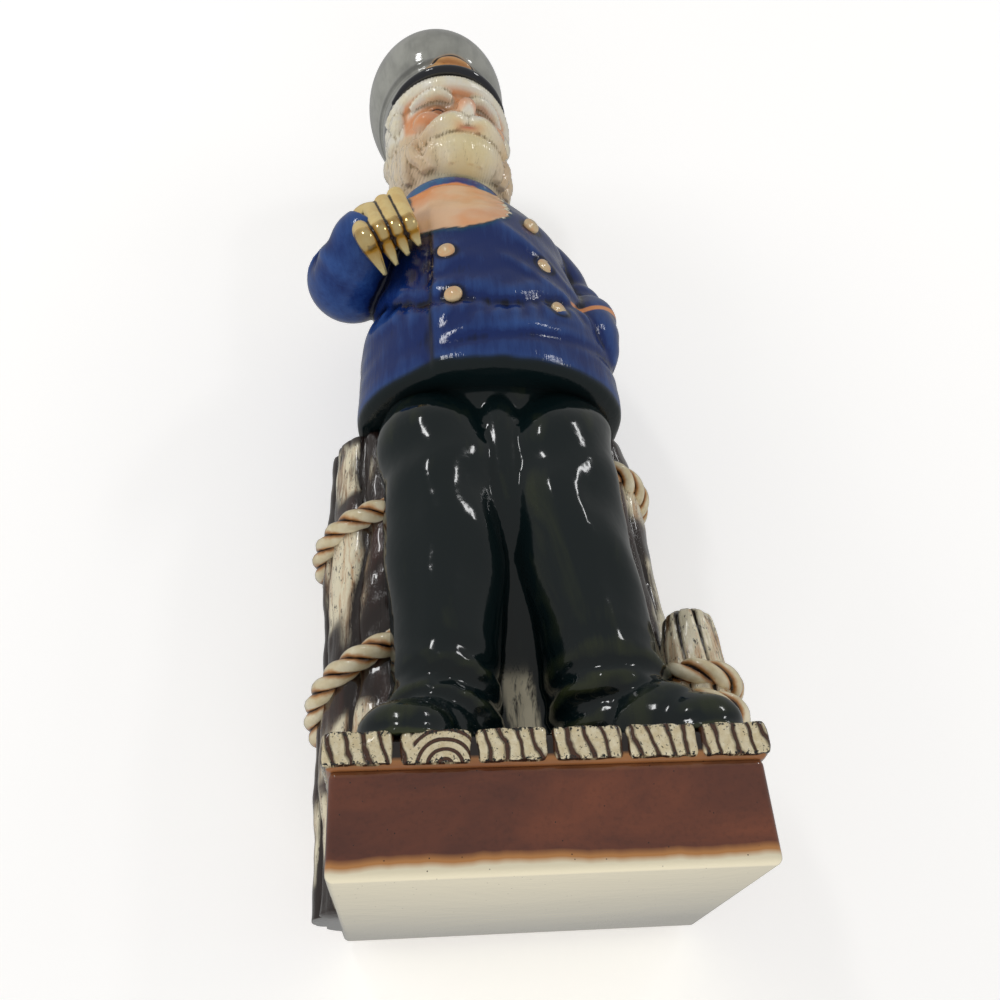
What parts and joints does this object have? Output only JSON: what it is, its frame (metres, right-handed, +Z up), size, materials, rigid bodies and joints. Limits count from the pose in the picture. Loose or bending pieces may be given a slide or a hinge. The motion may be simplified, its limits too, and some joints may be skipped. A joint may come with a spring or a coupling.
{
  "type": "figural decanter",
  "caption": "Hollow ceramic figural decanter: an old sea captain in a double-breasted coat before rope-bound pilings on a plank deck, with his capped head as the lift-off stopper.",
  "frame": {"origin": "on the ground, below the middle of the whole object's bounding box", "axes": "+Z up, the figure faces -Y, +X to the viewer's right; metres"},
  "size_m": [0.1438, 0.0952, 0.3863],
  "materials": {
    "body_glaze": "glossy glaze on ceramic: cobalt coat, black trousers, brown deck",
    "head_glaze": "glossy glaze on ceramic: grey cap, cream beard, flesh face"
  },
  "bodies": {
    "root": {"decanter_body": "body_glaze", "head_stopper": "head_glaze"}
  },
  "joints": []
}
